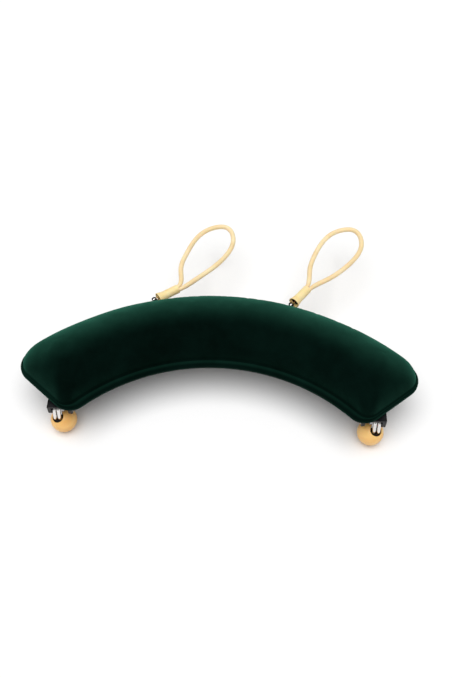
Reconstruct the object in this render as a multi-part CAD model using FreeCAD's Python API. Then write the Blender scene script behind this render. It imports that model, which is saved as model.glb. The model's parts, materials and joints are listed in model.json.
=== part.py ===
import FreeCAD, Part
import math
import os

from FreeCAD import Vector

# A padded crescent clip. Millimetres. +X right, +Y towards the outer edge with the cord loops,
# +Z up. The origin is on the underside of the backing liner, halfway along the crescent and
# halfway across it. The crescent's own centre of curvature is mid_radius in front of the origin.

# Crescent plan
mid_radius = 78.5
pad_width = 30.0
half_angle = 49.5
outer_corner = 7.4
inner_corner = 6.4

# Layers, from the underside up
liner_thickness = 0.4
plate_thickness = 1.0
rim_thickness = 1.5
pad_height = 12.9
plate_inset = 0.7
liner_inset = 1.6

# Padded dome. Its foot stands in from the outer, inner and end edges by these widths of flat rim.
rim_widths = (0.75, 2.8, 1.1)
corner_growth = 9.0
dome_power = 2.2
dome_levels = (0.0, 0.03, 0.1, 0.22, 0.38, 0.57, 0.78)
cover_thickness = 0.8
foam_clearance = 0.08

# Arm hinge at the inner corner of each end
hinge_x = 52.5
hinge_y = -31.0
hinge_z = -3.0
pin_radius = 0.55
press_clearance = 0.01
running_clearance = 0.05
ear_gap = 5.6
ear_thickness = 1.2
ear_radius = 1.8
ear_front_top = -2.0
ear_rear_top = 2.8
pin_head_radius = 0.95
pin_head_length = 0.35
foot_thickness = 0.8
foot_front = -2.0
foot_rear = 6.0
bracket_rivet_places = (3.5, 7.5)

# Doubled wire arm and ball. The wire runs near the outward ear, so it enters the ball off centre.
wire_radius = 0.62
strand_offset = 0.72
wire_shift = 1.35
eye_turn = 285.0
ball_radius = 4.5
ball_drop = 6.9
bore_radius = 1.95
bore_tilt = 22.0
bore_floor = -1.8
bore_edge_round = 0.18
wire_mouth_offset = 0.45
knee_sink = 0.3
wire_end_depth = -0.3
knee_radius = 1.6
plug_top = 1.2
plug_clearance = 0.02

# Torsion spring beside the wire's eyes
spring_wire_radius = 0.18
spring_coil_radius = 0.95
spring_pitch = 0.39
spring_turns = 2.0
spring_side = -0.62
spring_foot_direction = (0.6, 0.8)
spring_foot_length = 2.2
spring_arm_length = 1.9

# Rivets
rivet_radius = 0.6
rivet_head_radius = 1.05
rivet_head_height = 0.4

# Loop lug and swivel stud at the outer edge
lug_angle = 15.1
lug_thickness = 0.6
lug_width = 4.6
lug_neck_width = 2.8
lug_inner_radius = 84.2
lug_step_radius = 91.0
stud_reach = 95.4
lug_rivet_places = (86.3, 89.5)
stud_shank_radius = 0.6
stud_fork_radius = 1.0
stud_fork_top = 2.95
stud_slot_half = 0.42
stud_slot_floor = 1.08
stud_head_radius = 0.95
stud_head_height = 0.4
swivel_pin_radius = 0.3
swivel_pin_half = 0.93
eye_height = 2.2

# Loop peg, sleeve, stop and cord, measured from the stud along the sleeve
peg_wire_radius = 0.35
peg_shank_radius = 0.45
peg_shank_end = 4.8
sleeve_start = 1.75
sleeve_length = 8.2
sleeve_mouth_radius = 2.1
sleeve_neck_radius = 1.65
sleeve_bore_radius = 1.47
sleeve_wall = 0.3
bell_length = 3.2
stop_start = 2.6
stop_length = 2.8
stop_radius = 1.4
cord_radius = 0.72
cord_offset = 0.73
loop_length = 36.4
loop_half_width = 7.2
loop_shape = ((0.24, 0.55), (0.46, 0.88), (0.69, 1.0), (0.9, 0.7))

# Rest pose of the two loops: where each sleeve points, clockwise from +Y, and how far the cord
# sways back from it
left_sleeve_turn = 53.0
right_sleeve_turn = 36.0
left_cord_sway = 26.0
right_cord_sway = 5.0

plate_bottom = liner_thickness
plate_top = plate_bottom + plate_thickness
rim_top = plate_top + rim_thickness
up = Vector(0, 0, 1)
along_x = Vector(1, 0, 0)
origin = Vector(0, 0, 0)


def on_arc(radius, turn, height):
    """Point at a radius and a turn (degrees, clockwise from +Y) about the crescent's centre."""
    angle = math.radians(turn)
    return Vector(radius * math.sin(angle), radius * math.cos(angle) - mid_radius, height)


def mirrored_point(point):
    return Vector(-point.x, point.y, point.z)


def arc(start, middle, end):
    return Part.Arc(start, middle, end).toShape()


def line(start, end):
    return Part.LineSegment(start, end).toShape()


def end_corner(radius, outward, inset, corner, height):
    """Tangent point on the arc, middle of the corner, and tangent point on the straight end."""
    centre_turn = half_angle - math.degrees(math.asin((inset + corner) / radius))
    centre = on_arc(radius, centre_turn, height)
    turn = math.radians(centre_turn)
    away = Vector(math.sin(turn), math.cos(turn), 0) * outward
    end_turn = math.radians(half_angle)
    end_normal = Vector(math.cos(end_turn), -math.sin(end_turn), 0)
    middle = (away + end_normal).normalize()
    return centre + away * corner, centre + middle * corner, centre + end_normal * corner


def crescent_wire(insets, corners, height):
    """Closed outline of the crescent, moved in from its outer, inner and end edges. The two
    corner radii are the outer and the inner one."""
    outer = mid_radius + pad_width / 2 - insets[0]
    inner = mid_radius - pad_width / 2 + insets[1]
    outer_bend = end_corner(outer - corners[0], 1, insets[2], corners[0], height)
    inner_bend = end_corner(inner + corners[1], -1, insets[2], corners[1], height)
    outer_arc, outer_mid, outer_end = outer_bend
    inner_arc, inner_mid, inner_end = inner_bend
    flip = mirrored_point
    edges = [
        arc(flip(outer_arc), on_arc(outer, 0, height), outer_arc),
        arc(outer_arc, outer_mid, outer_end),
        line(outer_end, inner_end),
        arc(inner_end, inner_mid, inner_arc),
        arc(inner_arc, on_arc(inner, 0, height), flip(inner_arc)),
        arc(flip(inner_arc), flip(inner_mid), flip(inner_end)),
        line(flip(inner_end), flip(outer_end)),
        arc(flip(outer_end), flip(outer_mid), flip(outer_arc)),
    ]
    return Part.Wire(edges)


def crescent_slab(inset, bottom, top):
    corners = (outer_corner - inset, inner_corner - inset)
    face = Part.Face(crescent_wire((inset, inset, inset), corners, bottom))
    return face.extrude(up * (top - bottom))


def foot_corners():
    return outer_corner - rim_widths[0], inner_corner - rim_widths[1]


def dome(shrink):
    """Padded dome above the rim, all round smaller by shrink."""
    half_width = pad_width / 2
    rise = pad_height - rim_top - shrink
    sections = []
    for level in dome_levels:
        feet = [width + shrink for width in rim_widths]
        insets = [foot + level * (half_width - foot) for foot in feet]
        room = 0.95 * (half_width - (insets[0] + insets[1]) / 2)
        corners = [min(corner + corner_growth * level, room) for corner in foot_corners()]
        height = rim_top + rise * (1 - (1 - level) ** dome_power) ** (1 / dome_power)
        sections.append(crescent_wire(insets, corners, height))
    return Part.makeLoft(sections, True, False)


def filling(shrink):
    """Solid that fills the cover's hollow, down to the plate."""
    insets = [width + shrink for width in rim_widths]
    base = Part.Face(crescent_wire(insets, foot_corners(), plate_top))
    return base.extrude(up * rim_thickness).fuse(dome(shrink)).removeSplitter()


def make_velvet_cover():
    rim = crescent_slab(0, plate_top, rim_top)
    return rim.fuse(dome(0)).cut(filling(cover_thickness)).removeSplitter()


def make_foam_pad():
    return filling(cover_thickness + foam_clearance)


def rod(radius, start, end):
    """Round bar between two points."""
    span = end - start
    return Part.makeCylinder(radius, span.Length, start, span)


def headed_rivet(place, head_face, top):
    """Rivet set flush at the top, with its head under head_face."""
    shank = rod(rivet_radius, Vector(place.x, place.y, head_face), Vector(place.x, place.y, top))
    head_bottom = Vector(place.x, place.y, head_face - rivet_head_height)
    return shank.fuse(Part.makeCylinder(rivet_head_radius, rivet_head_height, head_bottom))


def rivet_hole(place, bottom, top):
    radius = rivet_radius + press_clearance
    return rod(radius, Vector(place.x, place.y, bottom), Vector(place.x, place.y, top))


def bracket_rivet_points():
    points = []
    for side in (-1, 1):
        for reach in bracket_rivet_places:
            points.append(Vector(side * hinge_x, hinge_y + reach, 0))
    return points


def lug_rivet_points():
    points = []
    for side in (-1, 1):
        for radius in lug_rivet_places:
            points.append(on_arc(radius, side * lug_angle, 0))
    return points


def make_base_plate():
    plate = crescent_slab(plate_inset, plate_bottom, plate_top)
    for point in bracket_rivet_points() + lug_rivet_points():
        plate = plate.cut(rivet_hole(point, plate_bottom - 1, plate_top + 1))
    return plate


def lug_blank(spread, bottom, top):
    """Lug outline about the +Y axis, made wider by spread all round."""
    height = top - bottom
    wide = lug_width / 2 + spread
    narrow = lug_neck_width / 2 + spread
    start = lug_inner_radius - mid_radius - spread
    step = lug_step_radius - mid_radius
    reach = stud_reach - mid_radius
    pad = Part.makeBox(2 * wide, step - start, height, Vector(-wide, start, bottom))
    neck = Part.makeBox(2 * narrow, reach - start, height, Vector(-narrow, start, bottom))
    tip = Part.makeCylinder(narrow, height, Vector(0, reach, bottom))
    return pad.fuse([neck, tip]).removeSplitter()


def turned_to_lug(shape, side):
    shape.rotate(Vector(0, -mid_radius, 0), up, -side * lug_angle)
    return shape


def make_backing_liner():
    liner = crescent_slab(liner_inset, 0, liner_thickness)
    window_half = ear_gap / 2 + ear_thickness + pin_head_length + 0.3
    for side in (-1, 1):
        corner = Vector(side * hinge_x - window_half, hinge_y + foot_front - 8, -1)
        foot_end = foot_rear + ear_gap / 2 + ear_thickness + 0.5
        window = Part.makeBox(2 * window_half, foot_end + 8 - foot_front, 3, corner)
        liner = liner.cut(window)
        liner = liner.cut(turned_to_lug(lug_blank(0.4, -1, 2), side))
    return liner


def to_hinge(shape, side):
    """Moves a shape made about the right hinge pin's centre to its place, mirrored on the left."""
    shape.translate(Vector(hinge_x, hinge_y, hinge_z))
    if side < 0:
        shape = shape.mirror(origin, along_x)
    return shape


def make_arm_bracket(side):
    """Foot under the plate with two round-ended ears."""
    foot_bottom = plate_bottom - foot_thickness - hinge_z
    half = ear_gap / 2 + ear_thickness
    base_corner = Vector(-half, foot_front, foot_bottom)
    foot = Part.makeBox(2 * half, foot_rear - foot_front, foot_thickness, base_corner)
    foot = foot.fuse(Part.makeCylinder(half, foot_thickness, Vector(0, foot_rear, foot_bottom)))
    for start in (-half, ear_gap / 2):
        foot_level = foot_bottom + foot_thickness / 2
        corners = [
            Vector(start, -ear_radius, 0),
            Vector(start, ear_radius, 0),
            Vector(start, ear_rear_top, foot_level),
            Vector(start, ear_front_top, foot_level),
        ]
        web = Part.Face(Part.makePolygon(corners + corners[:1]))
        web = web.extrude(along_x * ear_thickness)
        tip = Part.makeCylinder(ear_radius, ear_thickness, Vector(start, 0, 0), along_x)
        foot = foot.fuse([web, tip])
    bore = Part.makeCylinder(pin_radius + press_clearance, 3 * half, Vector(-1.5 * half, 0, 0), along_x)
    bracket = foot.cut(bore).removeSplitter()
    for reach in bracket_rivet_places:
        bracket = bracket.cut(rivet_hole(Vector(0, reach, 0), foot_bottom - 1, foot_bottom + 2))
    return to_hinge(bracket, side)


def make_hinge_pin(side):
    half = ear_gap / 2 + ear_thickness
    pin = Part.makeCylinder(pin_radius, 2 * half, Vector(-half, 0, 0), along_x)
    for start in (-half - pin_head_length, half):
        head = Part.makeCylinder(pin_head_radius, pin_head_length, Vector(start, 0, 0), along_x)
        pin = pin.fuse(head)
    return to_hinge(pin.removeSplitter(), side)


def bore_axis():
    """Unit vector out of the ball's mouth, leaning forward from straight up."""
    tilt = math.radians(bore_tilt)
    return Vector(0, -math.sin(tilt), math.cos(tilt))


def bore_point(depth):
    """Point on the bore's axis, measured outwards from beside the ball's centre."""
    return Vector(wire_shift, 0, -ball_drop) + bore_axis() * depth


def front_tangent_turn(radius, target):
    """Angle, from +Y towards +Z, where a line from target touches the eye's circle in front."""
    reach = math.hypot(target.y, target.z)
    return math.atan2(target.z, target.y) - math.acos(radius / reach)


def circle_point(radius, turn, x):
    return Vector(x, radius * math.cos(turn), radius * math.sin(turn))


def swept(edges, radius, start, direction):
    profile = Part.Wire(Part.Circle(start, direction, radius).toShape())
    return Part.Wire(edges).makePipeShell([profile], True, False)


def rounded_bend(start, knee, end, radius):
    """Edges of a two-leg path whose knee is rounded."""
    back = (start - knee).normalize()
    ahead = (end - knee).normalize()
    half_bend = back.getAngle(ahead) / 2
    reach = radius / math.tan(half_bend)
    centre = knee + (back + ahead).normalize() * (radius / math.sin(half_bend))
    middle = centre + (knee - centre).normalize() * radius
    first = knee + back * reach
    last = knee + ahead * reach
    return [line(start, first), arc(first, middle, last), line(last, end)]


def mouth_depth():
    """Where the bore's axis leaves the ball."""
    return math.sqrt(ball_radius ** 2 - wire_shift ** 2)


def strand(x):
    """One strand of the wire: an eye round the pin, a leg, a knee and the end in the ball."""
    eye_radius = pin_radius + running_clearance + wire_radius
    forward = Vector(0, -math.cos(math.radians(bore_tilt)), -math.sin(math.radians(bore_tilt)))
    knee = bore_point(mouth_depth() - knee_sink) + forward * wire_mouth_offset
    turn = front_tangent_turn(eye_radius, knee)
    tangent = circle_point(eye_radius, turn, wire_shift)
    sweep = math.radians(eye_turn)
    eye = arc(
        circle_point(eye_radius, turn - sweep, wire_shift),
        circle_point(eye_radius, turn - sweep / 2, wire_shift),
        tangent,
    )
    end = bore_point(wire_end_depth)
    edges = [eye] + rounded_bend(tangent, knee, end, knee_radius)
    free_turn = turn - sweep
    direction = Vector(0, -math.sin(free_turn), math.cos(free_turn))
    solid = swept(edges, wire_radius, circle_point(eye_radius, free_turn, wire_shift), direction)
    solid.translate(Vector(x, 0, 0))
    return solid, end, (end - knee).normalize()


def make_wire_arm():
    """Doubled wire, about the pin's centre: two strands joined by a U bend inside the ball."""
    left_strand, end, heading = strand(-strand_offset)
    right_strand = strand(strand_offset)[0]
    side_step = along_x * strand_offset
    bend = arc(end - side_step, end + heading * strand_offset, end + side_step)
    turn = swept([bend], wire_radius, end - side_step, heading)
    return left_strand.fuse([turn, right_strand]).removeSplitter()


def make_ball():
    ball = Part.makeSphere(ball_radius, Vector(0, 0, -ball_drop), Vector(-1, 0, 0))
    bore = rod(bore_radius, bore_point(bore_floor), bore_point(2 * ball_radius))
    ball = ball.cut(bore)
    mouth = bore_point(mouth_depth())
    rims = []
    for edge in ball.Edges:
        if edge.Closed and edge.CenterOfMass.distanceToPoint(mouth) < 1:
            rims.append(edge)
    return ball.makeFillet(bore_edge_round, rims)


def make_ball_plug(wire_arm):
    plug = rod(bore_radius - plug_clearance, bore_point(bore_floor), bore_point(plug_top))
    return plug.cut(wire_arm)


def tangent_turn(direction):
    """Angle on the coil where going on round it, from +Y towards +Z, heads along direction."""
    return math.atan2(-direction[0], direction[1])


def make_torsion_spring(side):
    """Coil round the pin, one leg up under the foot and one leg down along the wire."""
    foot_way = Vector(0, spring_foot_direction[0], spring_foot_direction[1])
    arm_way = Vector(0, -0.38, -0.925)
    start_turn = tangent_turn((-foot_way.y, -foot_way.z))
    end_turn = tangent_turn((arm_way.y, arm_way.z))
    turns = spring_turns + (end_turn - start_turn) / (2 * math.pi) % 1
    length = turns * spring_pitch
    coil = Part.makeHelix(spring_pitch, length, spring_coil_radius)
    slope = math.atan2(spring_pitch, 2 * math.pi * spring_coil_radius)
    heading = Vector(0, math.cos(slope), math.sin(slope))
    start = Vector(spring_coil_radius, 0, 0)
    profile = Part.Wire(Part.Circle(start, heading, spring_wire_radius).toShape())
    spring = Part.Wire(coil.Edges).makePipeShell([profile], True, True)
    spring.rotate(origin, Vector(0, 1, 0), 90)
    spring.rotate(origin, along_x, math.degrees(start_turn) + 90)
    spring.translate(along_x * (spring_side - length / 2))
    foot_start = circle_point(spring_coil_radius, start_turn, spring_side - length / 2)
    arm_start = circle_point(spring_coil_radius, end_turn, spring_side + length / 2)
    foot_leg = rod(spring_wire_radius, foot_start, foot_start + foot_way * spring_foot_length)
    arm_leg = rod(spring_wire_radius, arm_start, arm_start + arm_way * spring_arm_length)
    caps = [Part.makeSphere(spring_wire_radius, point) for point in (foot_start, arm_start)]
    spring = spring.fuse([foot_leg, arm_leg] + caps)
    return to_hinge(spring.removeSplitter(), side)


def make_bracket_rivets():
    foot_bottom = plate_bottom - foot_thickness
    rivets = [headed_rivet(point, foot_bottom, plate_top) for point in bracket_rivet_points()]
    return Part.makeCompound(rivets)


def make_lug_rivets():
    lug_bottom = plate_bottom - lug_thickness
    rivets = [headed_rivet(point, lug_bottom, plate_top) for point in lug_rivet_points()]
    return Part.makeCompound(rivets)


def make_loop_lug(side):
    """Strap under the plate whose tip carries the swivel stud."""
    bottom = plate_bottom - lug_thickness
    lug = lug_blank(0, bottom, plate_bottom)
    for radius in lug_rivet_places:
        lug = lug.cut(rivet_hole(Vector(0, radius - mid_radius, 0), bottom - 1, plate_top))
    stud_hole = Vector(0, stud_reach - mid_radius, bottom - 1)
    lug = lug.cut(Part.makeCylinder(stud_shank_radius + running_clearance, 3, stud_hole))
    return turned_to_lug(lug, side)


def to_stud(shape, side):
    """Turns a shape made about the stud, sleeve along +Y, and moves it out to its lug."""
    turn = left_sleeve_turn if side < 0 else right_sleeve_turn
    shape.rotate(origin, up, -turn)
    shape.translate(on_arc(stud_reach, side * lug_angle, 0))
    return shape


def upright(radius, bottom, top):
    return rod(radius, Vector(0, 0, bottom), Vector(0, 0, top))


def make_swivel_stud(side):
    """Stud that turns in the lug, with a slotted fork above and a riveted head below."""
    head_top = plate_bottom - lug_thickness - running_clearance
    fork_bottom = plate_bottom + running_clearance
    fork = upright(stud_fork_radius, fork_bottom, stud_fork_top)
    shank = upright(stud_shank_radius, head_top, fork_bottom)
    head = upright(stud_head_radius, head_top - stud_head_height, head_top)
    slot_corner = Vector(-stud_slot_half, -2, stud_slot_floor)
    slot = Part.makeBox(2 * stud_slot_half, 4, 4, slot_corner)
    hole_start = Vector(-2, 0, eye_height)
    hole = Part.makeCylinder(swivel_pin_radius + press_clearance, 4, hole_start, along_x)
    stud = fork.fuse([shank, head]).removeSplitter()
    return to_stud(stud.cut(slot).cut(hole), side)


def make_swivel_pin(side):
    start = Vector(-swivel_pin_half, 0, eye_height)
    pin = Part.makeCylinder(swivel_pin_radius, 2 * swivel_pin_half, start, along_x)
    return to_stud(pin, side)


def to_eye(shape, side):
    """Moves a shape made about the peg's eye, sleeve along +Y, to its place."""
    shape.translate(Vector(0, 0, eye_height))
    return to_stud(shape, side)


def make_loop_peg(side):
    """Eye round the stud's cross pin, with a shank into the sleeve."""
    eye_bore = swivel_pin_radius + running_clearance
    ring_radius = eye_bore + peg_wire_radius
    ring = Part.makeTorus(ring_radius, peg_wire_radius, origin, along_x)
    shank = rod(peg_shank_radius, Vector(0, ring_radius, 0), Vector(0, peg_shank_end, 0))
    slot_fit = Part.makeBox(2 * peg_wire_radius, 2, 4, Vector(-peg_wire_radius, 0, -2))
    root = shank.common(slot_fit)
    tail = rod(peg_shank_radius, Vector(0, sleeve_start - 0.4, 0), Vector(0, peg_shank_end, 0))
    bore = Part.makeCylinder(eye_bore, 2, Vector(-1, 0, 0), along_x)
    return to_eye(ring.fuse([root, tail]).cut(bore).removeSplitter(), side)


def make_loop_sleeve(side):
    """Bell-mouthed tube, turned about the sleeve's axis."""
    end = sleeve_start + sleeve_length
    bell_end = sleeve_start + bell_length
    lip = sleeve_mouth_radius - sleeve_wall
    flare_mid = sleeve_start + bell_length * 0.4
    outer_mid = sleeve_neck_radius + (sleeve_mouth_radius - sleeve_neck_radius) * 0.36
    inner_mid = sleeve_bore_radius + (lip - sleeve_bore_radius) * 0.36
    points = {
        "mouth_out": Vector(sleeve_mouth_radius, sleeve_start, 0),
        "flare_out": Vector(outer_mid, flare_mid, 0),
        "bell_out": Vector(sleeve_neck_radius, bell_end, 0),
        "neck_out": Vector(sleeve_neck_radius, end, 0),
        "neck_in": Vector(sleeve_bore_radius, end, 0),
        "bell_in": Vector(sleeve_bore_radius, bell_end, 0),
        "flare_in": Vector(inner_mid, flare_mid, 0),
        "mouth_in": Vector(lip, sleeve_start, 0),
    }
    lip_middle = Vector(lip + sleeve_wall / 2, sleeve_start - sleeve_wall / 2, 0)
    edges = [
        arc(points["mouth_out"], points["flare_out"], points["bell_out"]),
        line(points["bell_out"], points["neck_out"]),
        line(points["neck_out"], points["neck_in"]),
        line(points["neck_in"], points["bell_in"]),
        arc(points["bell_in"], points["flare_in"], points["mouth_in"]),
        arc(points["mouth_in"], lip_middle, points["mouth_out"]),
    ]
    profile = Part.Face(Part.Wire(edges))
    return to_eye(profile.revolve(origin, Vector(0, 1, 0), 360), side)


def make_cord_stop(side):
    """Disc inside the sleeve that grips the peg's shank and holds the cord's ends."""
    stop = rod(stop_radius, Vector(0, stop_start, 0), Vector(0, stop_start + stop_length, 0))
    socket = rod(peg_shank_radius + press_clearance, Vector(0, 0, 0), Vector(0, peg_shank_end, 0))
    return to_eye(stop.cut(socket), side)


def make_elastic_loop(side):
    """Round cord: two ends side by side in the sleeve, then a teardrop that sways to the left."""
    sway = math.radians(left_cord_sway if side < 0 else right_cord_sway)
    sleeve_end = sleeve_start + sleeve_length
    cord_start = stop_start + stop_length

    def swayed(along, across):
        return Vector(
            across * math.cos(sway) - along * math.sin(sway),
            sleeve_end + along * math.cos(sway) + across * math.sin(sway),
            0,
        )

    left_side = [swayed(a * loop_length, -w * loop_half_width) for a, w in loop_shape]
    right_side = [swayed(a * loop_length, w * loop_half_width) for a, w in loop_shape]
    first = Vector(-cord_offset, sleeve_end, 0)
    last = Vector(cord_offset, sleeve_end, 0)
    curve = Part.BSplineCurve()
    points = [first] + left_side + [swayed(loop_length, 0)] + right_side[::-1] + [last]
    ahead = Vector(0, 1, 0)
    curve.interpolate(Points=points, InitialTangent=ahead, FinalTangent=-ahead)
    start = Vector(-cord_offset, cord_start, 0)
    finish = Vector(cord_offset, cord_start, 0)
    edges = [line(start, first), curve.toShape(), line(last, finish)]
    return to_eye(swept(edges, cord_radius, start, ahead), side)


def main():
    nodes = {
        "velvet_cover": make_velvet_cover(),
        "foam_pad": make_foam_pad(),
        "base_plate": make_base_plate(),
        "backing_liner": make_backing_liner(),
        "bracket_rivets": make_bracket_rivets(),
        "lug_rivets": make_lug_rivets(),
    }
    for name, side in (("left", -1), ("right", 1)):
        wire_arm = make_wire_arm()
        nodes[name + "_arm_bracket"] = make_arm_bracket(side)
        nodes[name + "_hinge_pin"] = make_hinge_pin(side)
        nodes[name + "_torsion_spring"] = make_torsion_spring(side)
        nodes[name + "_ball"] = to_hinge(make_ball(), side)
        nodes[name + "_ball_plug"] = to_hinge(make_ball_plug(wire_arm), side)
        nodes[name + "_wire_arm"] = to_hinge(wire_arm, side)
        nodes[name + "_loop_lug"] = make_loop_lug(side)
        nodes[name + "_swivel_stud"] = make_swivel_stud(side)
        nodes[name + "_swivel_pin"] = make_swivel_pin(side)
        nodes[name + "_loop_peg"] = make_loop_peg(side)
        nodes[name + "_loop_sleeve"] = make_loop_sleeve(side)
        nodes[name + "_cord_stop"] = make_cord_stop(side)
        nodes[name + "_elastic_loop"] = make_elastic_loop(side)
    os.makedirs("parts", exist_ok=True)
    for name, shape in nodes.items():
        shape.exportStep("parts/" + name + ".step")


main()
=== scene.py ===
import json
import math

import bmesh
import bpy
import numpy as np
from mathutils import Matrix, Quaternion, Vector


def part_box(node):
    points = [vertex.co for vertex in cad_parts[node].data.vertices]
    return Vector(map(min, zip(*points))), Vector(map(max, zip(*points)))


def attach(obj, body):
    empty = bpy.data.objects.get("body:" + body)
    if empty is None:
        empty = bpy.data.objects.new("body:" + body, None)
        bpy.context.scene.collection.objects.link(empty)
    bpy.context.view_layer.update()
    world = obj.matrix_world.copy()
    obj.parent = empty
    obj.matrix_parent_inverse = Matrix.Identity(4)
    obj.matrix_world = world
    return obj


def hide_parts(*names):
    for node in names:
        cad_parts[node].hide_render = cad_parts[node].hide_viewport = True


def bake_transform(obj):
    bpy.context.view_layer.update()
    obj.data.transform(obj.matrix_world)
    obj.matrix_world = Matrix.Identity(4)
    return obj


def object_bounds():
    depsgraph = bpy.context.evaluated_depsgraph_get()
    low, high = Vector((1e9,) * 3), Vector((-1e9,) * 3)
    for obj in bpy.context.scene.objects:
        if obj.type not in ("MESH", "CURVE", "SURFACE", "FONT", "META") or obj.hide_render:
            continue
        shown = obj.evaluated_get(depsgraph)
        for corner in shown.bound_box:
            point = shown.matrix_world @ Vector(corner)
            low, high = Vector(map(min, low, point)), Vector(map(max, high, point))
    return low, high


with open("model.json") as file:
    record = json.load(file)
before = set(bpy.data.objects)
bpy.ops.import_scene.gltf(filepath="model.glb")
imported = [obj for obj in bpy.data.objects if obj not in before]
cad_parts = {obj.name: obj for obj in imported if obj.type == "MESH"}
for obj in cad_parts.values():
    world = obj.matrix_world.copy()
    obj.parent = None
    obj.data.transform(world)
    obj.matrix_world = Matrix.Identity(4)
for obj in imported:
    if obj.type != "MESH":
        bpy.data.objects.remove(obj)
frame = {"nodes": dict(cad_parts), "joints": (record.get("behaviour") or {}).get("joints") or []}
cad_low, cad_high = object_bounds()
mm = 0.001
sides = (("left", -1), ("right", 1))

# Crescent plan, the same as the CAD part's. The dome's foot stands in from the outer, inner and
# end edges by these widths of flat rim.
mid_radius = 78.5 * mm
half_angle = math.radians(49.5)
outer_corner = 7.4 * mm
inner_corner = 6.4 * mm
foot = {"outer": 0.75 * mm, "inner": 2.8 * mm, "end": 1.1 * mm}
corner_growth = 9.0 * mm
corner_room_share = 0.95
dome_power = 2.2

# Velvet cover
cover_low, cover_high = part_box("velvet_cover")
half_width = cover_high.y
rim_thickness = 1.5 * mm
# Painted shade on the velvet: between these tilts of the face its painted sheen and sheen weight
# fall, down to this share on a face that looks to the front, as if lit from above and behind
painted_shade_tilts = (-0.9, 0.0)
painted_shade_share = 0.3
skin_thickness = 0.8 * mm
foam_clearance = 0.08 * mm
# The skin starts at this share of the CAD dome's height, because the simulation swells it
start_height_share = 0.955
arc_steps = 136
end_steps = 32
corner_samples = 40
# The crown's grid bends to the rounded ends over this share of its length
end_reach = 0.2
# Halvings that find how far up the dome a point is
level_halvings = 30
# The rim's section: share of its width in from the edge, and height over the plate in mm
rim_section = (
    (0.18, 0.0),
    (0.05, 0.1),
    (0.0, 0.38),
    (0.0, 0.9),
    (0.035, 1.24),
    (0.13, 1.46),
    (0.3, 1.58),
    (0.5, 1.6),
    (0.74, 1.56),
    (0.95, 1.55),
)
# Rings of points up the dome, as shares of the way from its foot to its ridge. The first ones are
# held in the simulation, together with the rim.
dome_levels = (0.006, 0.02, 0.045, 0.08, 0.12, 0.17, 0.23, 0.3, 0.38, 0.46)
pinned_level_rings = 2
# Slow swells of the padding, by this much
swell_height = 0.05 * mm

# Cloth simulation of the padded skin, run on a larger copy. No point moves by more than the cap.
sim_scale = 5.0
sim_frames = 20
sim_pressure = 60.0
sim_cap = 1.3 * mm

# Rounded end of a tube, from its tip: share of the radius, and step past the path's end in radii
tube_end = ((0.55, 0.5), (0.88, 0.2))

# Torsion springs
spring_wire_radius = 0.18 * mm
spring_coil_radius = 0.95 * mm
spring_pitch = 0.39 * mm
spring_turns = 2
spring_turn_samples = 40
spring_side = -0.62 * mm
spring_foot_way = (0.6, 0.8)
spring_arm_way = (-0.38, -0.925)
spring_foot_length = 2.2 * mm
spring_arm_length = 1.9 * mm
spring_leg_samples = 8
spring_around = 12

# Elastic loops. The shape is pairs of shares: along the loop, and across its half width. The cord
# grows to cord_swell times the CAD cord's radius over swell_length past the sleeve.
loop_half_width = 7.2 * mm
loop_shape = ((0.24, 0.55), (0.46, 0.88), (0.69, 1.0), (0.9, 0.7))
cord_swell = 1.28
swell_length = 4 * mm
cord_gap_share = 1.015
cord_sway = {"left": math.radians(26), "right": math.radians(5)}
cord_step = 0.4 * mm
cord_inside_samples = 14
cord_around = 28

# Camera: angles in degrees, distance from the origin, lens and picture side in the camera's own
# millimetres, and shift as shares of the picture's long side
camera_elevation = 52.3
camera_azimuth = 3.0
camera_roll = -0.1
camera_distance = 300.0 * mm
camera_lens = 44.8
camera_shift = (0.0077, -0.004)
picture_long_side = 36.0

# Light: a broad overhead light slightly in front, its strength and spread, and the room's strength
# as light and as the backdrop that the camera sees
key_strength = 3.0
key_from = (-0.04, -0.2, 1.0)
key_spread = math.radians(62)
room_light = 0.28
backdrop_light = 1.05

# Floor, just clear of the lowest point
floor_half = 1.5
floor_gap = 0.02 * mm


# ---------------------------------------------------------------- meshes


def new_object(name, points, faces, smooth=True):
    mesh = bpy.data.meshes.new(name)
    mesh.from_pydata([tuple(p) for p in points], [], [tuple(f) for f in faces])
    mesh.validate()
    work = bmesh.new()
    work.from_mesh(mesh)
    bmesh.ops.recalc_face_normals(work, faces=work.faces)
    work.to_mesh(mesh)
    work.free()
    for polygon in mesh.polygons:
        polygon.use_smooth = smooth
    made = bpy.data.objects.new(name, mesh)
    bpy.context.scene.collection.objects.link(made)
    return made


def compass(turn):
    """Unit vectors at turns measured clockwise from +Y."""
    turn = np.asarray(turn, float)
    return np.stack([np.sin(turn), np.cos(turn)], -1)


def evenly(points, steps):
    """The same line, sampled in equal steps along it."""
    length = np.concatenate([[0], np.cumsum(np.linalg.norm(np.diff(points, axis=0), axis=1))])
    wanted = np.linspace(0, length[-1], steps + 1)
    return np.stack([np.interp(wanted, length, row) for row in points.T], -1)


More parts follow.
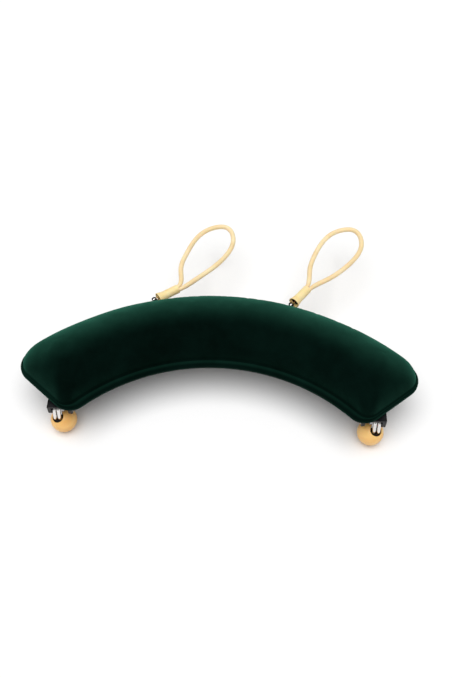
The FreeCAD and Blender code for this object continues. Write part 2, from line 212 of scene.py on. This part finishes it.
def outline(inset, corner):
    """Outer arc, right end, inner arc and left end of the crescent, as four rows of points.
    Insets are for the outer, inner and end edges, and corners for the outer and inner ones."""
    outer = mid_radius + half_width - inset[0] - corner[0]
    inner = mid_radius - half_width + inset[1] + corner[1]
    outer_turn = half_angle - math.asin((inset[2] + corner[0]) / outer)
    inner_turn = half_angle - math.asin((inset[2] + corner[1]) / inner)
    side = half_angle + math.pi / 2
    outer_way = compass(np.linspace(outer_turn, side, corner_samples))
    inner_way = compass(np.linspace(side, inner_turn + math.pi, corner_samples))
    outer_bend = outer * compass(outer_turn) + corner[0] * outer_way
    inner_bend = inner * compass(inner_turn) + corner[1] * inner_way
    right = evenly(np.vstack([outer_bend, inner_bend]), end_steps)
    outer_turns = np.linspace(-outer_turn, outer_turn, arc_steps + 1)
    inner_turns = np.linspace(-inner_turn, inner_turn, arc_steps + 1)
    outer_arc = (outer + corner[0]) * compass(outer_turns)
    inner_arc = (inner - corner[1]) * compass(inner_turns)
    rows = [outer_arc, right, inner_arc, right * (-1, 1)]
    return [row - (0, mid_radius) for row in rows]


def closed_ring(rows, height):
    outer_arc, right, inner_arc, left = rows
    plan = np.vstack([outer_arc, right[1:-1], inner_arc[::-1], left[1:-1][::-1]])
    return np.column_stack([plan, np.full(len(plan), height)])


def unrolled(plan):
    """Plan points as length along the crescent and distance from its centre."""
    from_centre = plan + (0, mid_radius)
    turn = np.arctan2(from_centre[..., 0], from_centre[..., 1])
    return np.stack([turn * mid_radius, np.linalg.norm(from_centre, axis=-1)], -1)


def rolled(flat):
    return flat[..., 1:] * compass(flat[..., 0] / mid_radius) - (0, mid_radius)


def patch_grid(rows):
    """Grid of plan points spread between the four rows, edges included."""
    outer_arc, right, inner_arc, left = [unrolled(row) for row in rows]
    u = np.linspace(0, 1, len(outer_arc))[:, None, None]
    v = np.linspace(0, 1, len(right))[None, :, None]
    along = (1 - v) * outer_arc[:, None] + v * inner_arc[:, None]
    near_left = np.clip(1 - u / end_reach, 0, 1) ** 2
    near_right = np.clip(1 - (1 - u) / end_reach, 0, 1) ** 2
    bulge_left = left[None] - along[:1]
    bulge_right = right[None] - along[-1:]
    return rolled(along + near_left * bulge_left + near_right * bulge_right)


def rim_outline(share):
    """Outline part of the way (0 to 1) from the pad's edge to the dome's foot."""
    inset = [share * foot[edge] for edge in ("outer", "inner", "end")]
    return outline(inset, (outer_corner - inset[0], inner_corner - inset[1]))


def dome_insets(level):
    inset = [foot[edge] + level * (half_width - foot[edge]) for edge in ("outer", "inner", "end")]
    room = corner_room_share * (half_width - (inset[0] + inset[1]) / 2)
    outer = np.minimum(outer_corner - foot["outer"] + corner_growth * level, room)
    inner = np.minimum(inner_corner - foot["inner"] + corner_growth * level, room)
    return inset, (outer, inner)


def dome_height(level):
    rise = cover_high.z - cover_low.z - rim_thickness
    return rise * (1 - (1 - np.clip(level, 0, 1)) ** dome_power) ** (1 / dome_power)


def dome_level(plan):
    """How far each plan point is from the dome's foot (0) towards its ridge (1)."""
    along, radius = np.moveaxis(unrolled(plan), -1, 0)
    to_outer = mid_radius + half_width - radius
    to_inner = radius - mid_radius + half_width
    to_end = radius * np.sin(half_angle - np.abs(along) / mid_radius)
    low = np.zeros_like(radius)
    high = np.ones_like(radius)
    for _ in range(level_halvings):
        level = (low + high) / 2
        inset, corner = dome_insets(level)
        inside = np.ones(len(radius), bool)
        arcs = ((to_outer, inset[0], corner[0]), (to_inner, inset[1], corner[1]))
        for to_arc, arc_inset, bend in arcs:
            past_end = np.maximum(inset[2] + bend - to_end, 0)
            past_arc = np.maximum(arc_inset + bend - to_arc, 0)
            inside &= np.hypot(past_end, past_arc) < bend
        low = np.where(inside, level, low)
        high = np.where(inside, high, level)
    return (low + high) / 2


def band(first, second, count):
    """Quads between two closed rings of vertices."""
    quads = []
    for k in range(count):
        after = (k + 1) % count
        quads.append((first + k, first + after, second + after, second + k))
    return quads


def cap_quads(ring_start, inner_start, columns, rows):
    """Quads that fill the last ring: columns by rows of cells, inner points in row order."""
    count = 2 * (columns + rows)

    def vertex(i, j):
        if j == 0:
            return ring_start + i
        if i == columns:
            return ring_start + columns + j
        if j == rows:
            return ring_start + columns + rows + (columns - i)
        if i == 0:
            return ring_start + (count - j) % count
        return inner_start + (i - 1) * (rows - 1) + (j - 1)

    quads = []
    for i in range(columns):
        for j in range(rows):
            quads.append((vertex(i, j), vertex(i + 1, j), vertex(i + 1, j + 1), vertex(i, j + 1)))
    return quads


ring_count = 2 * (arc_steps + end_steps)
rim_rings = len(rim_section)
held_count = (rim_rings + pinned_level_rings) * ring_count


def pad_skin():
    """Points and quads of the velvet's outer face: rim rings, dome rings and the crown's grid."""
    rings = []
    for share, height in rim_section:
        rings.append(closed_ring(rim_outline(share), cover_low.z + height * mm))
    for level in dome_levels:
        rows = outline(*dome_insets(level))
        height = dome_height(level) * start_height_share
        rings.append(closed_ring(rows, cover_low.z + rim_thickness + height))
    crown_plan = patch_grid(rows)[1:-1, 1:-1].reshape(-1, 2)
    crown_height = dome_height(dome_level(crown_plan)) * start_height_share
    crown_z = cover_low.z + rim_thickness + crown_height
    points = np.vstack(rings + [np.column_stack([crown_plan, crown_z])])
    faces = []
    for k in range(len(rings) - 1):
        faces += band(k * ring_count, (k + 1) * ring_count, ring_count)
    last = (len(rings) - 1) * ring_count
    faces += cap_quads(last, last + ring_count, arc_steps, end_steps)
    return points, faces


def inflate(points, faces):
    """Swells the skin as cloth under pressure, held at its foot, and caps each point's move."""
    cloth = new_object("skin_cloth", points * sim_scale, faces)
    held = cloth.vertex_groups.new(name="held")
    held.add(list(range(held_count)), 1.0, "REPLACE")
    modifier = cloth.modifiers.new("cloth", "CLOTH")
    settings = modifier.settings
    settings.quality = 8
    settings.mass = 0.3
    settings.tension_stiffness = 25
    settings.compression_stiffness = 25
    settings.shear_stiffness = 8
    settings.bending_stiffness = 1.5
    settings.vertex_group_mass = held.name
    settings.use_pressure = True
    settings.uniform_pressure_force = sim_pressure
    settings.effector_weights.gravity = 0
    scene = bpy.context.scene
    for number in range(1, sim_frames + 1):
        scene.frame_set(number)
    evaluated = cloth.evaluated_get(bpy.context.evaluated_depsgraph_get())
    swollen = np.array([v.co for v in evaluated.data.vertices]) / sim_scale
    scene.frame_set(1)
    bpy.data.objects.remove(cloth)
    move = swollen - points
    length = np.linalg.norm(move, axis=1)
    print("cloth move, mm: mean", length.mean() / mm, "greatest", length.max() / mm)
    limit = np.minimum(1, sim_cap / np.maximum(length, 1e-9))
    return points + move * limit[:, None]


def vertex_normals(points, faces):
    faces = np.array(faces)
    corners = points[faces]
    normal = np.cross(corners[:, 2] - corners[:, 0], corners[:, 3] - corners[:, 1])
    total = np.zeros_like(points)
    for k in range(4):
        np.add.at(total, faces[:, k], normal)
    total /= np.maximum(np.linalg.norm(total, axis=1), 1e-12)[:, None]
    return total * np.sign(total[-1, 2])


def soft_unevenness(points):
    """Slow swells of the padding, up to 1.6 times swell_height."""
    x, y = points[:, 0] / mm, points[:, 1] / mm
    swell = np.sin(x / 9.0 + 0.7) * np.sin(y / 6.5 + x / 31.0)
    swell += 0.6 * np.sin(x / 4.7 + y / 7.9 + 2.1)
    return swell_height * swell


def make_pad():
    points, faces = pad_skin()
    points = inflate(points, faces)
    normals = vertex_normals(points, faces)
    free = slice(held_count, None)
    points[free] += normals[free] * soft_unevenness(points[free])[:, None]
    first_inner = (rim_rings + 1) * ring_count
    inner = points[first_inner:] - normals[first_inner:] * skin_thickness
    floor_ring = inner[:ring_count].copy()
    floor_ring[:, 2] = cover_low.z
    inner_faces = [tuple(i - first_inner for i in face) for face in faces[first_inner:]]
    cover_points = np.vstack([points, inner, floor_ring])
    inner_start = len(points)
    floor_start = inner_start + len(inner)
    cover_faces = list(faces)
    cover_faces += [tuple(i + inner_start for i in face) for face in inner_faces]
    cover_faces += band(inner_start, floor_start, ring_count)
    cover_faces += band(floor_start, 0, ring_count)
    cover = new_object("velvet_skin", cover_points, cover_faces)
    foam = make_foam(points, normals, first_inner, inner_faces)
    return cover, foam


def make_foam(points, normals, first_inner, inner_faces):
    """Crowned foam block in the cover's hollow."""
    gap = skin_thickness + foam_clearance
    skin = points[first_inner:] - normals[first_inner:] * gap
    floor_ring = skin[:ring_count].copy()
    floor_ring[:, 2] = cover_low.z
    rows = [
        floor_ring[: arc_steps + 1, :2],
        floor_ring[arc_steps : arc_steps + end_steps + 1, :2],
        floor_ring[arc_steps + end_steps : 2 * arc_steps + end_steps + 1, :2][::-1],
        np.vstack([floor_ring[2 * arc_steps + end_steps :, :2], floor_ring[:1, :2]])[::-1],
    ]
    floor_plan = patch_grid(rows)[1:-1, 1:-1].reshape(-1, 2)
    floor_inner = np.column_stack([floor_plan, np.full(len(floor_plan), cover_low.z)])
    foam_points = np.vstack([skin, floor_ring, floor_inner])
    start = len(skin)
    foam_faces = inner_faces + band(0, start, ring_count)
    foam_faces += cap_quads(start, start + ring_count, arc_steps, end_steps)
    return new_object("foam_core", foam_points, foam_faces)


def carried_frames(path):
    """Tangent, side and up vectors along a path, carried without twist."""
    tangent = np.gradient(path, axis=0)
    tangent /= np.linalg.norm(tangent, axis=1)[:, None]
    side = np.cross(tangent[0], (0.0, 0.0, 1.0))
    if np.linalg.norm(side) < 0.1:
        side = np.cross(tangent[0], (0.0, 1.0, 0.0))
    sides_along = []
    for direction in tangent:
        side = side - direction * (side @ direction)
        side = side / np.linalg.norm(side)
        sides_along.append(side)
    side = np.array(sides_along)
    return tangent, side, np.cross(side, tangent)


def tube(name, path, radius, around):
    """Closed tube round a path with softly rounded ends; radius may vary along it."""
    path = np.asarray(path, float)
    radius = np.broadcast_to(radius, len(path)).astype(float)
    tangent, side, up = carried_frames(path)
    turns = np.linspace(0, 2 * math.pi, around, endpoint=False)
    rings = []
    for share, step in tube_end:
        rings.append((path[0] - tangent[0] * step * radius[0], radius[0] * share, 0))
    rings += [(path[k], radius[k], k) for k in range(len(path))]
    for share, step in tube_end[::-1]:
        rings.append((path[-1] + tangent[-1] * step * radius[-1], radius[-1] * share, -1))
    points = []
    for centre, size, k in rings:
        ring = np.cos(turns)[:, None] * side[k] + np.sin(turns)[:, None] * up[k]
        points.append(centre + ring * size)
    faces = []
    for k in range(len(rings) - 1):
        faces += band(k * around, (k + 1) * around, around)
    faces.append(tuple(range(around)))
    last = (len(rings) - 1) * around
    faces.append(tuple(range(last, last + around)))
    return new_object(name, np.vstack(points), faces)


def clamped_spline(knots, start_way, end_way, step):
    """Smooth curve through the knots, with its end directions given, sampled about every step."""
    knots = np.asarray(knots, float)
    gap = np.linalg.norm(np.diff(knots, axis=0), axis=1)
    count = len(knots)
    matrix = np.zeros((count, count))
    right = np.zeros_like(knots)
    matrix[0, 0] = matrix[-1, -1] = 1
    right[0] = start_way
    right[-1] = end_way
    for k in range(1, count - 1):
        before, after = gap[k - 1], gap[k]
        matrix[k, k - 1 : k + 2] = (after, 2 * (before + after), before)
        rise = (knots[k + 1] - knots[k]) * before / after
        fall = (knots[k] - knots[k - 1]) * after / before
        right[k] = 3 * (rise + fall)
    slope = np.linalg.solve(matrix, right)
    rows = [knots[:1]]
    for k in range(count - 1):
        t = np.linspace(0, 1, max(2, round(gap[k] / step)) + 1)[1:, None]
        start = knots[k] * (2 * t**3 - 3 * t**2 + 1) + slope[k] * gap[k] * (t**3 - 2 * t**2 + t)
        end = knots[k + 1] * (3 * t**2 - 2 * t**3) + slope[k + 1] * gap[k] * (t**3 - t**2)
        rows.append(start + end)
    return np.vstack(rows)


def node_points(node):
    return np.array([v.co for v in frame["nodes"][node].data.vertices], float)


def joint(name):
    return next(j for j in frame["joints"] if j["name"] == name)


def make_loop(name):
    """Round elastic cord whose two ends lie side by side in the sleeve."""
    hinge = joint(name + "_loop_lift")
    eye = np.array(hinge["pos_m"], float)
    across = np.array(hinge["axis"], float)
    ahead = np.array([-across[1], across[0], 0.0])
    cad_cord = node_points(name + "_elastic_loop") - eye
    radius = (cad_cord[:, 2].max() - cad_cord[:, 2].min()) / 2
    sleeve_end = ((node_points(name + "_loop_sleeve") - eye) @ ahead).max()
    cord_start = (cad_cord @ ahead).min()
    sway = cord_sway[name]
    way = ahead * math.cos(sway) - across * math.sin(sway)
    side_way = across * math.cos(sway) + ahead * math.sin(sway)
    root = eye + ahead * sleeve_end
    reach = ((cad_cord + eye - root) @ way).max() - radius
    offset = radius * cord_gap_share
    left = [root + way * a * reach - side_way * w * loop_half_width for a, w in loop_shape]
    right = [root + way * a * reach + side_way * w * loop_half_width for a, w in loop_shape]
    knots = [root - across * offset] + left + [root + way * reach]
    knots += right[::-1] + [root + across * offset]
    curve = clamped_spline(knots, ahead, -ahead, cord_step)
    inside_start = cord_start + 0.3 * radius
    inside = np.linspace(inside_start, sleeve_end, cord_inside_samples)[:-1, None] * ahead
    path = np.vstack([
        eye + inside - across * offset,
        curve,
        (eye + inside + across * offset)[::-1],
    ])
    along = np.arange(len(path))
    from_sleeve = np.clip(((path - eye) @ ahead - sleeve_end) / swell_length, 0, 1)
    swollen = 1 + (cord_swell - 1) * from_sleeve * from_sleeve * (3 - 2 * from_sleeve)
    uneven = 0.012 * np.sin(along * 0.31) * np.sin(along * 0.083 + 1)
    size = radius * (swollen - 0.015 + uneven)
    return tube(name + "_cord", path, size, cord_around)


def make_spring(name, side):
    """Torsion spring round the hinge pin, with one leg under the foot and one along the wire."""
    pin = np.array(joint(name + "_arm_fold")["pos_m"], float)

    def tangent_turn(way):
        return math.atan2(-way[0], way[1])

    foot_way = np.array([0, *spring_foot_way])
    arm_way = np.array([0, *spring_arm_way])
    start_turn = tangent_turn((-foot_way[1], -foot_way[2]))
    end_turn = tangent_turn((arm_way[1], arm_way[2]))
    turns = spring_turns + (end_turn - start_turn) / (2 * math.pi) % 1
    length = turns * spring_pitch
    share = np.linspace(0, 1, round(turns * spring_turn_samples))
    angle = start_turn + share * turns * 2 * math.pi
    coil = np.column_stack([
        spring_side - length / 2 + share * length,
        spring_coil_radius * np.cos(angle),
        spring_coil_radius * np.sin(angle),
    ])
    steps = np.linspace(1, 0, spring_leg_samples)[:-1, None]
    foot_leg = coil[0] + foot_way * spring_foot_length * steps
    arm_leg = (coil[-1] + arm_way * spring_arm_length * steps)[::-1]
    path = np.vstack([foot_leg, coil, arm_leg])
    placed = pin + path * (side, 1, 1)
    spring = tube(name + "_spring_wire", placed, spring_wire_radius, spring_around)
    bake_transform(spring)
    return spring


# ---------------------------------------------------------------- materials


class Finish:
    """A node material with short calls for the textures that the finishes share."""

    def __init__(self, name, colour, **inputs):
        self.material = bpy.data.materials.new(name)
        self.material.use_nodes = True
        self.tree = self.material.node_tree
        self.shader = self.tree.nodes["Principled BSDF"]
        self.set("Base Color", (*colour, 1))
        for key, value in inputs.items():
            self.set(key.replace("_", " ").title().replace("Ior", "IOR"), value)
        self.place = self.node("ShaderNodeTexCoord").outputs["Object"]
        self.normal = None

    def node(self, kind, **inputs):
        made = self.tree.nodes.new(kind)
        for key, value in inputs.items():
            self.feed(made.inputs[key], value)
        return made

    def feed(self, socket, value):
        if isinstance(value, bpy.types.NodeSocket):
            self.tree.links.new(value, socket)
        else:
            socket.default_value = value

    def set(self, key, value):
        self.feed(self.shader.inputs[key], value)

    def stretched(self, scale):
        made = self.node("ShaderNodeMapping", Vector=self.place, Scale=scale)
        return made.outputs["Vector"]

    def noise(self, scale, detail=3.0, roughness=0.55, distortion=0.0, place=None):
        made = self.node("ShaderNodeTexNoise")
        self.feed(made.inputs["Vector"], place or self.place)
        made.inputs["Scale"].default_value = scale
        made.inputs["Detail"].default_value = detail
        made.inputs["Roughness"].default_value = roughness
        made.inputs["Distortion"].default_value = distortion
        return made.outputs["Fac"]

    def voronoi(self, scale, feature="F1"):
        made = self.node("ShaderNodeTexVoronoi")
        made.feature = feature
        self.feed(made.inputs["Vector"], self.place)
        made.inputs["Scale"].default_value = scale
        return made.outputs["Distance"]

    def spread(self, value, low, high, out_low, out_high):
        made = self.node("ShaderNodeMapRange")
        made.inputs["From Min"].default_value = low
        made.inputs["From Max"].default_value = high
        made.inputs["To Min"].default_value = out_low
        made.inputs["To Max"].default_value = out_high
        self.feed(made.inputs["Value"], value)
        return made.outputs["Result"]

    def maths(self, operation, a, b=0.0):
        made = self.node("ShaderNodeMath")
        made.operation = operation
        self.feed(made.inputs[0], a)
        self.feed(made.inputs[1], b)
        return made.outputs[0]

    def blend(self, factor, first, second):
        made = self.node("ShaderNodeMix")
        made.data_type = "RGBA"
        self.feed(made.inputs["Factor"], factor)
        for socket, value in ((made.inputs[6], first), (made.inputs[7], second)):
            self.feed(socket, value if isinstance(value, bpy.types.NodeSocket) else (*value, 1))
        return made.outputs[2]

    def bump(self, height, distance, strength=1.0):
        made = self.node("ShaderNodeBump", Height=height)
        made.inputs["Distance"].default_value = distance
        made.inputs["Strength"].default_value = strength
        if self.normal is not None:
            self.feed(made.inputs["Normal"], self.normal)
        self.normal = made.outputs["Normal"]
        self.set("Normal", self.normal)


def velvet_finish():
    """Short pile, dark seen straight on; painted sheen lighter green at grazing angles, painted
    shade on front faces.
    """
    finish = Finish("velvet", (0.002, 0.008, 0.006), roughness=0.9, specular_ior_level=0.02)
    brushed = finish.noise(55, 2, 0.5, 0.6)
    mottled = finish.noise(260, 3, 0.6, 0.3)
    pile = finish.noise(2600, 2, 0.6)
    broad = finish.spread(brushed, 0.3, 0.7, 0, 0.6)
    tone = finish.maths("ADD", broad, finish.spread(mottled, 0.3, 0.7, 0, 0.4))
    # Painted sheen: the base colour turns lighter green where the face is seen at a grazing angle
    facing = finish.node("ShaderNodeLayerWeight")
    facing.inputs["Blend"].default_value = 0.5
    painted_sheen_mask = finish.spread(facing.outputs["Facing"], 0.07, 0.95, 0, 1)
    # Painted shade: faces that look to the front lose part of the painted sheen and of the sheen
    # weight, as if lit from above and behind
    way = finish.node("ShaderNodeTexCoord").outputs["Normal"]
    backwards = finish.node("ShaderNodeSeparateXYZ", Vector=way).outputs["Y"]
    painted_shade_factor = finish.spread(backwards, *painted_shade_tilts, painted_shade_share, 1)
    painted_sheen_mask = finish.maths("MULTIPLY", painted_sheen_mask, painted_shade_factor)
    straight = finish.blend(tone, (0.0002, 0.0027, 0.0018), (0.0009, 0.0064, 0.0045))
    painted_sheen_green = finish.blend(tone, (0.017, 0.098, 0.063), (0.03, 0.148, 0.097))
    finish.set("Base Color", finish.blend(finish.maths("POWER", painted_sheen_mask, 1.45), straight, painted_sheen_green))
    sheen = finish.spread(finish.maths("ADD", tone, pile), 0.5, 1.5, 0.03, 0.08)
    finish.set("Sheen Weight", finish.maths("MULTIPLY", sheen, painted_shade_factor))
    finish.set("Sheen Roughness", 0.4)
    finish.set("Sheen Tint", (0.12, 0.9, 0.6, 1))
    finish.bump(mottled, 0.12 * mm, 0.5)
    finish.bump(pile, 0.1 * mm, 0.6)
    return finish.material


def foam_finish():
    finish = Finish("foam", (0.16, 0.16, 0.15), roughness=0.95)
    cells = finish.voronoi(1700)
    depth = finish.spread(cells, 0, 0.6, 0, 1)
    finish.set("Base Color", finish.blend(depth, (0.2, 0.2, 0.19), (0.08, 0.08, 0.08)))
    finish.bump(cells, 0.25 * mm, 0.8)
    return finish.material


def felt_finish():
    finish = Finish("felt", (0.018, 0.018, 0.019), roughness=0.95, specular_ior_level=0.2)
    matted = finish.noise(900, 5, 0.7, 1.6)
    fibres = finish.noise(1.0, 4, 0.7, 2.5, finish.stretched((4200, 1500, 3000)))
    fibres_across = finish.noise(1.0, 4, 0.7, 2.5, finish.stretched((1400, 4300, 3000)))
    tone = finish.maths("MULTIPLY", matted, finish.maths("ADD", fibres, fibres_across))
    shade = finish.spread(tone, 0.25, 0.75, 0, 1)
    finish.set("Base Color", finish.blend(shade, (0.009, 0.009, 0.01), (0.045, 0.045, 0.048)))
    finish.set("Sheen Weight", 0.35)
    finish.set("Sheen Roughness", 0.6)
    finish.bump(tone, 0.18 * mm, 0.9)
    return finish.material


def coated_finish(name, colour, roughness, scratch):
    """Black coated metal or moulded plastic: orange-peel grain, faint scuffs and worn tone."""
    finish = Finish(name, colour, roughness=roughness, specular_ior_level=0.2)
    peel = finish.noise(1500, 2, 0.5)
    wear = finish.noise(170, 4, 0.65, 0.4)
    scuffs = finish.noise(1.0, 3, 0.6, 0.3, finish.stretched((300, 5200, 900)))
    worn = tuple(min(1, c * 2.2 + 0.003) for c in colour)
    finish.set("Base Color", finish.blend(finish.spread(wear, 0.52, 0.75, 0, 0.8), colour, worn))
    rough = finish.maths("ADD", finish.spread(wear, 0.3, 0.7, roughness - 0.08, roughness + 0.1),
                         finish.spread(scuffs, 0.6, 0.8, 0, scratch))
    finish.set("Roughness", rough)
    finish.bump(peel, 0.03 * mm, 0.35)
    return finish.material


def metal_finish(name, colour, roughness, grain):
    """Bare metal with fine drawn lines and a slow stain of tone."""
    finish = Finish(name, colour, metallic=1.0, roughness=roughness)
    stain = finish.noise(240, 3, 0.6, 0.5)
    lines = finish.noise(1.0, 3, 0.65, 0.1, finish.stretched((6500, 900, 900)))
    dark = tuple(c * 0.78 for c in colour)
    finish.set("Base Color", finish.blend(finish.spread(stain, 0.35, 0.7, 0, 1), colour, dark))
    finish.set("Roughness", finish.spread(lines, 0.3, 0.7, roughness * 0.75, roughness * 1.35))
    finish.bump(lines, 0.012 * mm, grain)
    return finish.material


def amber_finish(name, deep, pale, roughness, glow, flow_scale):
    """Satin amber resin or rubber: slow flow marks, a little light carried inside, fine grain."""
    finish = Finish(name, pale, roughness=roughness, specular_ior_level=0.4)
    flow = finish.noise(flow_scale, 3, 0.5, 1.4)
    grain = finish.noise(2400, 2, 0.5)
    haze = finish.noise(420, 3, 0.6)
    finish.set("Base Color", finish.blend(finish.spread(flow, 0.34, 0.68, 0, 1), deep, pale))
    finish.set("Roughness", finish.spread(haze, 0.3, 0.7, roughness - 0.05, roughness + 0.08))
    finish.set("Subsurface Weight", glow)
    finish.set("Subsurface Radius", (1.0, 0.55, 0.25))
    finish.set("Subsurface Scale", 1.1 * mm)
    finish.bump(grain, 0.02 * mm, 0.3)
    return finish.material


def floor_finish():
    """Pale matt floor that is seen only from above."""
    finish = Finish("floor", (0.86, 0.86, 0.86), roughness=0.9, specular_ior_level=0.0)
    grain = finish.noise(900, 2)
    finish.set("Base Color", finish.blend(grain, (0.85, 0.85, 0.85), (0.87, 0.87, 0.87)))
    clear = finish.node("ShaderNodeBsdfTransparent")
    geometry = finish.node("ShaderNodeNewGeometry")
    mix = finish.node("ShaderNodeMixShader", Fac=geometry.outputs["Backfacing"])
    output = finish.tree.nodes["Material Output"]
    finish.tree.links.new(finish.shader.outputs[0], mix.inputs[1])
    finish.tree.links.new(clear.outputs[0], mix.inputs[2])
    finish.tree.links.new(mix.outputs[0], output.inputs["Surface"])
    return finish.material


def dress(obj, material):
    obj.data.materials.clear()
    obj.data.materials.append(material)


def stand_in(obj, node, material):
    """Puts a piece in a CAD node's place and its material."""
    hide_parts(node)
    dress(obj, material)


# ---------------------------------------------------------------- stage


def make_floor():
    half = floor_half
    z = cad_low.z - floor_gap
    corners = [(-half, -half, z), (half, -half, z), (half, half, z), (-half, half, z)]
    floor = new_object("floor", corners, [(0, 1, 2, 3)], smooth=False)
    dress(floor, floor_finish())


def make_key_light():
    data = bpy.data.lights.new("key", "SUN")
    data.energy = key_strength
    data.angle = key_spread
    lamp = bpy.data.objects.new("key", data)
    lamp.location = key_from
    lamp.rotation_mode = "QUATERNION"
    lamp.rotation_quaternion = (-Vector(key_from)).to_track_quat("-Z", "Y")
    bpy.context.scene.collection.objects.link(lamp)


def make_world():
    """White for the camera, a soft grey room as light."""
    world = bpy.data.worlds.new("studio")
    bpy.context.scene.world = world
    world.use_nodes = True
    tree = world.node_tree
    background = tree.nodes["Background"]
    background.inputs["Color"].default_value = (1, 1, 1, 1)
    path = tree.nodes.new("ShaderNodeLightPath")
    strength = tree.nodes.new("ShaderNodeMapRange")
    tree.links.new(path.outputs["Is Camera Ray"], strength.inputs["Value"])
    strength.inputs["To Min"].default_value = room_light
    strength.inputs["To Max"].default_value = backdrop_light
    tree.links.new(strength.outputs["Result"], background.inputs["Strength"])


def make_camera():
    data = bpy.data.cameras.new("camera")
    camera = bpy.data.objects.new("camera", data)
    bpy.context.scene.collection.objects.link(camera)
    elevation = math.radians(camera_elevation)
    azimuth = math.radians(camera_azimuth)
    back = Vector((
        math.cos(elevation) * math.sin(azimuth),
        -math.cos(elevation) * math.cos(azimuth),
        math.sin(elevation),
    ))
    camera.location = back * camera_distance
    camera.rotation_mode = "QUATERNION"
    roll = Quaternion((0, 0, 1), math.radians(camera_roll))
    camera.rotation_quaternion = (-back).to_track_quat("-Z", "Y") @ roll
    data.sensor_width = picture_long_side
    data.lens = camera_lens
    data.shift_x, data.shift_y = camera_shift
    data.clip_start = 0.01
    data.clip_end = 10
    bpy.context.scene.camera = camera


# ---------------------------------------------------------------- the clip

cover, foam = make_pad()
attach(cover, "clip_body")
stand_in(cover, "velvet_cover", velvet_finish())
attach(foam, "clip_body")
stand_in(foam, "foam_pad", foam_finish())

cord_finish = amber_finish("amber_cord", (0.8, 0.61, 0.33), (0.87, 0.72, 0.44), 0.5, 0.25, 90)
ball_finish = amber_finish("amber_ball", (0.82, 0.46, 0.14), (0.9, 0.56, 0.2), 0.36, 0.2, 110)
sleeve_finish = amber_finish("amber_sleeve", (0.88, 0.64, 0.29), (0.95, 0.75, 0.4), 0.38, 0.2, 130)
plate_black = coated_finish("plate_black", (0.006, 0.006, 0.007), 0.42, 0.12)
hardware_black = coated_finish("hardware_black", (0.005, 0.005, 0.006), 0.34, 0.15)
plug_black = coated_finish("plug_black", (0.012, 0.007, 0.004), 0.6, 0.1)
steel = metal_finish("steel", (0.55, 0.55, 0.56), 0.28, 0.4)
bright_wire = metal_finish("bright_wire", (0.86, 0.84, 0.82), 0.16, 0.3)
felt = felt_finish()

dress(frame["nodes"]["base_plate"], plate_black)
dress(frame["nodes"]["backing_liner"], felt)
dress(frame["nodes"]["bracket_rivets"], hardware_black)
dress(frame["nodes"]["lug_rivets"], steel)
node_finishes = {
    "arm_bracket": hardware_black,
    "hinge_pin": steel,
    "wire_arm": bright_wire,
    "ball": ball_finish,
    "ball_plug": plug_black,
    "loop_lug": hardware_black,
    "swivel_stud": hardware_black,
    "swivel_pin": steel,
    "loop_peg": bright_wire,
    "loop_sleeve": sleeve_finish,
    "cord_stop": plug_black,
}
for name, side in sides:
    for part, finish in node_finishes.items():
        dress(frame["nodes"][name + "_" + part], finish)
    cord = make_loop(name)
    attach(cord, name + "_loop")
    stand_in(cord, name + "_elastic_loop", cord_finish)
    spring = make_spring(name, side)
    stand_in(spring, name + "_torsion_spring", steel)

make_floor()
make_world()
make_key_light()
make_camera()
bpy.context.scene.view_settings.view_transform = "Standard"
